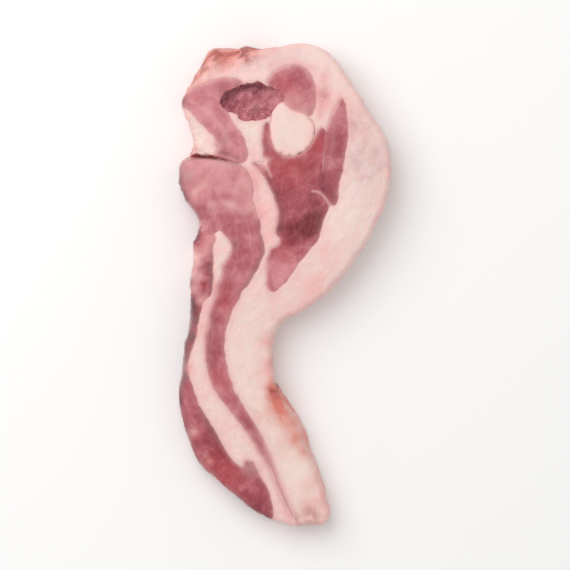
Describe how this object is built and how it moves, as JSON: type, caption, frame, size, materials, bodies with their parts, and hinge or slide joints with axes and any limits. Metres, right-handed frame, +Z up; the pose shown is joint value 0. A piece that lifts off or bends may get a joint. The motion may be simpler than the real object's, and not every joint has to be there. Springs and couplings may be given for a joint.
{
  "type": "raw lamb chop",
  "caption": "Raw lamb chop with its tail, cut across bone, lean muscles and fat, lying flat on a cut face.",
  "frame": {"origin": "middle of the chop's bounding box, on the surface that it lies on", "axes": "+Z up out of the upper cut face, +Y towards the fat cap's top with the tail towards -Y, +X towards the thick side of the fat"},
  "size_m": [0.0876, 0.2002, 0.0207],
  "materials": {
    "lean": "moist raw lamb muscle, dusky pink red, soft gloss",
    "pale_lean": "moist pale raw lamb muscle, pink, soft gloss",
    "fat": "raw lamb fat, pinkish cream, faint waxy gloss",
    "bone": "sawn white bone, smooth and matt",
    "marrow_bone": "sawn red spongy bone, rough and moist"
  },
  "bodies": {
    "root": {"bone_round": "bone", "bone_spongy": "marrow_bone", "lean_top": "lean", "lean_chine_strip": "pale_lean", "lean_cap": "lean", "lean_eye": "lean", "lean_fillet": "pale_lean", "lean_flank_inner": "lean", "lean_flank_outer": "lean", "fat_flank": "fat", "fat_notch": "fat", "fat_cap": "fat"}
  },
  "joints": []
}
